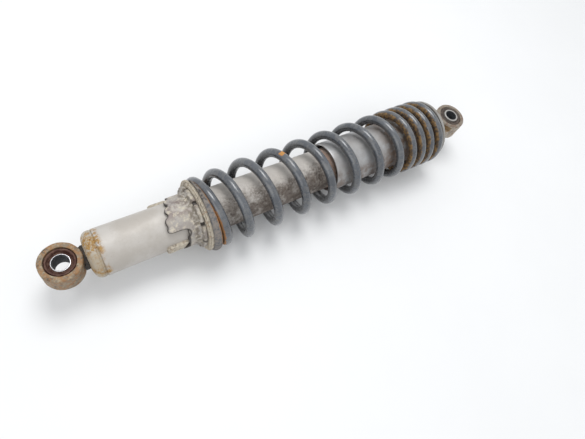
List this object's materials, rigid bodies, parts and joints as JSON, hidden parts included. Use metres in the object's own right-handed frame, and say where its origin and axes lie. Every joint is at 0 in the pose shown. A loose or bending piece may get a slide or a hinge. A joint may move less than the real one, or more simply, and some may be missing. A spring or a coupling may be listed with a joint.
{
  "type": "rear shock absorber",
  "caption": "Coil-over rear shock: twin-tube damper, stepped preload cam, dual-pitch coil spring, dust shroud and rubber-bushed eyes.",
  "frame": {"origin": "centre of the lower eye's bolt bore", "axes": "+X along the shock from the lower eye to the upper eye, +Z along both eyes' bores, at full extension"},
  "size_m": [0.4521, 0.0696, 0.0696],
  "materials": {
    "eye_steel_lower": "weathered paint over steel, rusty",
    "eye_steel_upper": "weathered paint over steel",
    "weld": "dark rough weld",
    "rubber_lower": "aged, reddish brown",
    "rubber_upper": "aged, dark brown",
    "sleeve_bright": "polished by the bolt's washers",
    "sleeve_dull": "dull grey",
    "body_paint": "satin silver paint, dirty",
    "cap_paint": "satin silver paint with rust at the seam",
    "cam_metal": "stained, corroded coating",
    "seat_metal": "corroded coating",
    "spring_paint": "semi-gloss blue grey paint",
    "shroud_metal": "satin metallic grey",
    "upper_seat_paint": "satin metallic grey",
    "tube_steel": "drawn tube",
    "sintered": "sintered, matt",
    "valve_steel": "ground",
    "fastener_steel": "oiled",
    "bush_bronze": "bronze, matt",
    "seal_rubber": "smooth",
    "rod_chrome": "hard chrome",
    "band_plastic": "filled plastic",
    "foam": "cellular, matt"
  },
  "bodies": {
    "damper_body": {"lower_eye_ring": "eye_steel_lower", "lower_eye_weld": "weld", "lower_bush_rubber": "rubber_lower", "bottom_cap": "cap_paint", "reservoir_tube": "body_paint", "preload_stop_lugs": "seat_metal", "pressure_tube": "tube_steel", "base_valve_body": "sintered", "base_valve_shims": "valve_steel", "base_valve_bolt": "fastener_steel", "base_valve_nut": "fastener_steel", "rod_guide": "sintered", "guide_bush": "bush_bronze", "oil_seal": "seal_rubber", "gland_ring": "fastener_steel", "rod_wiper": "seal_rubber", "coil_spring": "spring_paint"},
    "lower_sleeve_turning": {"lower_sleeve": "sleeve_bright"},
    "base_check": {"base_check_plate": "valve_steel"},
    "spring_seat": {"lower_spring_seat": "seat_metal"},
    "cam_ring": {"preload_cam_ring": "cam_metal"},
    "sliding_band": {"piston_band": "band_plastic"},
    "rod_assembly": {"piston_rod": "rod_chrome", "piston": "sintered", "piston_shims": "valve_steel", "piston_nut": "fastener_steel", "check_plate_stop": "valve_steel", "topout_spacer": "foam", "bump_stop": "foam", "bump_stop_cup": "tube_steel", "dust_shroud": "shroud_metal", "upper_spring_seat": "upper_seat_paint", "upper_eye_neck": "eye_steel_upper", "upper_eye_ring": "eye_steel_upper", "upper_bush_rubber": "rubber_upper"},
    "piston_check": {"piston_check_plate": "valve_steel"},
    "upper_sleeve_turning": {"upper_sleeve": "sleeve_dull"}
  },
  "joints": [
    {"name": "damper_stroke", "type": "slide", "parent": "damper_body", "child": "sliding_band", "axis": [1, 0, 0], "range_m": [-0.085, 0], "stiffness_N_per_m": 18000, "springref_m": 0.012, "deforming": ["coil_spring"]},
    {"name": "rod_swivel", "type": "hinge", "parent": "sliding_band", "child": "rod_assembly", "pos_m": [0.22, 0, 0], "axis": [1, 0, 0], "continuous": true},
    {"name": "piston_check_lift", "type": "slide", "parent": "rod_assembly", "child": "piston_check", "axis": [1, 0, 0], "range_m": [0, 0.0009], "stiffness_N_per_m": 300, "springref_m": -0.001},
    {"name": "base_check_lift", "type": "slide", "parent": "damper_body", "child": "base_check", "axis": [1, 0, 0], "range_m": [0, 0.0009], "stiffness_N_per_m": 300, "springref_m": -0.001},
    {"name": "preload_slide", "type": "slide", "parent": "damper_body", "child": "spring_seat", "axis": [1, 0, 0], "range_m": [0, 0.0152], "deforming": ["coil_spring"]},
    {"name": "cam_turn", "type": "hinge", "parent": "spring_seat", "child": "cam_ring", "pos_m": [0.105, 0, 0], "axis": [-1, 0, 0], "range_deg": [0, 120]},
    {"name": "lower_sleeve_turn", "type": "hinge", "parent": "damper_body", "child": "lower_sleeve_turning", "pos_m": [0, 0, 0], "axis": [0, 0, 1], "range_deg": [-12, 12], "stiffness_Nm_per_rad": 15},
    {"name": "upper_sleeve_turn", "type": "hinge", "parent": "rod_assembly", "child": "upper_sleeve_turning", "pos_m": [0.42, 0, 0], "axis": [0, 0, 1], "range_deg": [-12, 12], "stiffness_Nm_per_rad": 15}
  ],
  "couplings": [
    {"joint": "preload_slide", "follows": "cam_turn", "m_per_rad": 0.007257}
  ]
}
